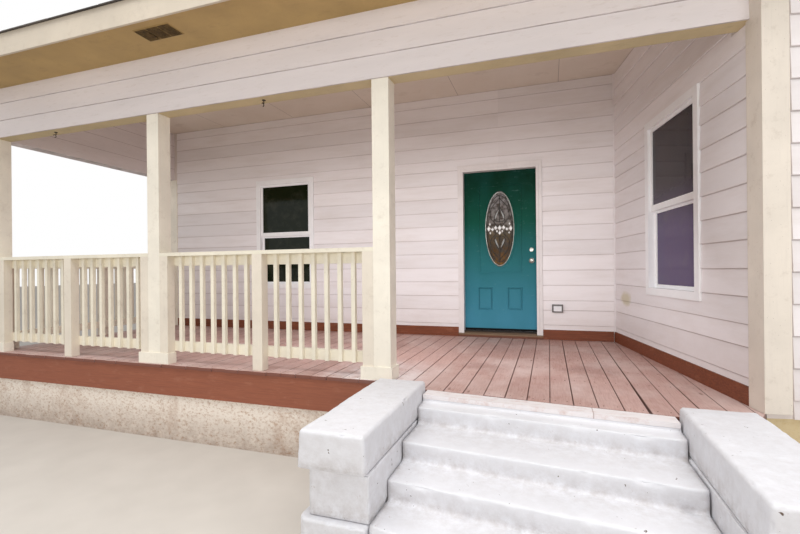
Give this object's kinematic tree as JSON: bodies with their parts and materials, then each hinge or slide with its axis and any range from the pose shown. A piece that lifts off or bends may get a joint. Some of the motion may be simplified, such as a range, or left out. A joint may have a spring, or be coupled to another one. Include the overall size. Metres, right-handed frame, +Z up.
{
  "type": "front porch",
  "caption": "Covered front porch with railed deck, square posts, masonry steps between cheek walls, low shed roof, lap-sided house walls, oval-light door and sash windows",
  "frame": {"origin": "Centre of the whole part's footprint box, at ground level", "axes": "+X to the right along the front as seen from the street, +Y from the street towards the house, +Z up"},
  "size_m": [7.7062, 4.5668, 4.468],
  "materials": {
    "siding": "satin",
    "trim_paint": "satin",
    "shade_paint": "satin",
    "kick_paint": "satin",
    "rim_stain": "matt",
    "deck_wood": "matt",
    "roof_shingle": "rough",
    "foundation_render": "rough",
    "white_masonry": "rough",
    "door_paint": "satin",
    "door_light": "textured",
    "window_light": "clear",
    "window_vinyl": "satin",
    "threshold_metal": "anodised tan",
    "hinge_brass": "satin",
    "lock_nickel": "satin",
    "outlet_plastic": "satin",
    "hook_iron": "satin"
  },
  "bodies": {
    "porch": {"wall_left": "siding", "wall_right": "siding", "wall_over_door": "siding", "return_wall": "siding", "house_base": "foundation_render", "corner_board": "trim_paint", "corner_pilaster": "trim_paint", "kick_boards": "kick_paint", "door_frame": "trim_paint", "door_casing": "trim_paint", "threshold": "threshold_metal", "frame_hinges": "hinge_brass", "window_frames": "window_vinyl", "window_sashes": "window_vinyl", "window_panes": "window_light", "outlet_box": "outlet_plastic", "deck_floor": "deck_wood", "deck_edge_strip": "white_masonry", "rim_boards": "rim_stain", "deck_foundation": "foundation_render", "steps": "white_masonry", "cheek_caps": "white_masonry", "cheek_pedestals": "white_masonry", "posts": "trim_paint", "post_bases": "trim_paint", "newels": "trim_paint", "left_railing": "trim_paint", "right_railing": "trim_paint", "end_railing": "trim_paint", "front_beam": "shade_paint", "side_beam": "shade_paint", "frieze_boards": "siding", "ceiling": "siding", "soffit": "shade_paint", "soffit_vent": "shade_paint", "fascia": "trim_paint", "roof": "roof_shingle", "plant_hooks": "hook_iron"},
    "door": {"door_leaf": "door_paint", "door_glass": "door_light", "door_mouldings": "door_paint", "door_hinges": "hinge_brass", "door_hardware": "lock_nickel"}
  },
  "joints": [
    {"name": "door_hinge", "type": "hinge", "parent": "porch", "child": "door", "pos_m": [1.2299, 2.2304, 1.794], "axis": [0, 0, 1], "range_deg": [0, 95]}
  ]
}
